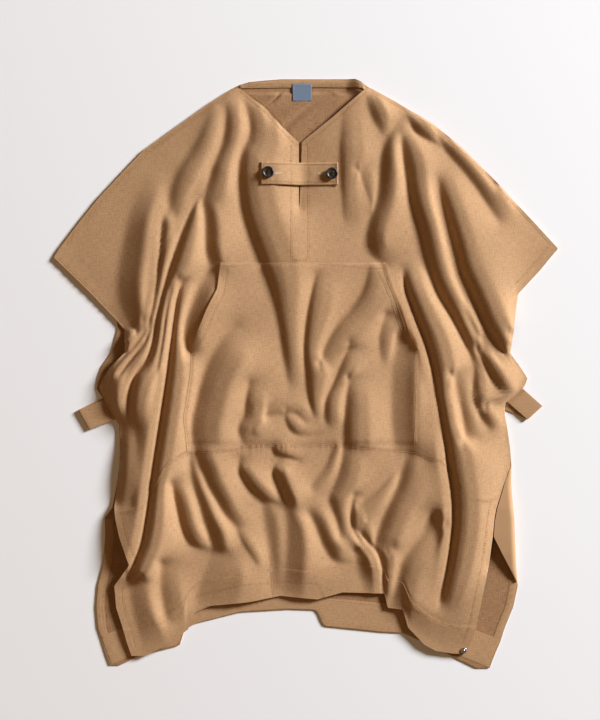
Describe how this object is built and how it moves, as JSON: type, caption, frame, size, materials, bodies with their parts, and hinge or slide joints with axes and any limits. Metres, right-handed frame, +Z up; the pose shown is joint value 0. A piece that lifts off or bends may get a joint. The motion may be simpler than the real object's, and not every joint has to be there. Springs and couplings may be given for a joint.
{
  "type": "pullover poncho",
  "caption": "Loose pullover poncho laid flat, with V neck, slit and tab, wide sleeves, kangaroo pocket, side loops and open side vents.",
  "frame": {"origin": "middle of the garment's overall width and length, on the surface it lies on", "axes": "+Y to the neck, +Z up out of the front, +X to the wearer's left"},
  "size_m": [0.856, 1, 0.0293],
  "materials": {
    "cloth": "brushed cotton twill, camel brown, soft matte nap",
    "label": "close woven satin label cloth, slate blue, left bare",
    "button": "polyester resin, marbled dark brown and black, half gloss",
    "snap": "nickel plated brass, pressed"
  },
  "bodies": {
    "root": {"back": "cloth", "front_upper": "cloth", "front_lower": "cloth", "pocket": "cloth", "neck_band": "cloth", "neck_tab": "cloth", "side_loop_left": "cloth", "side_loop_right": "cloth", "label": "label", "button_left": "button", "button_right": "button", "snap": "snap"}
  },
  "joints": []
}
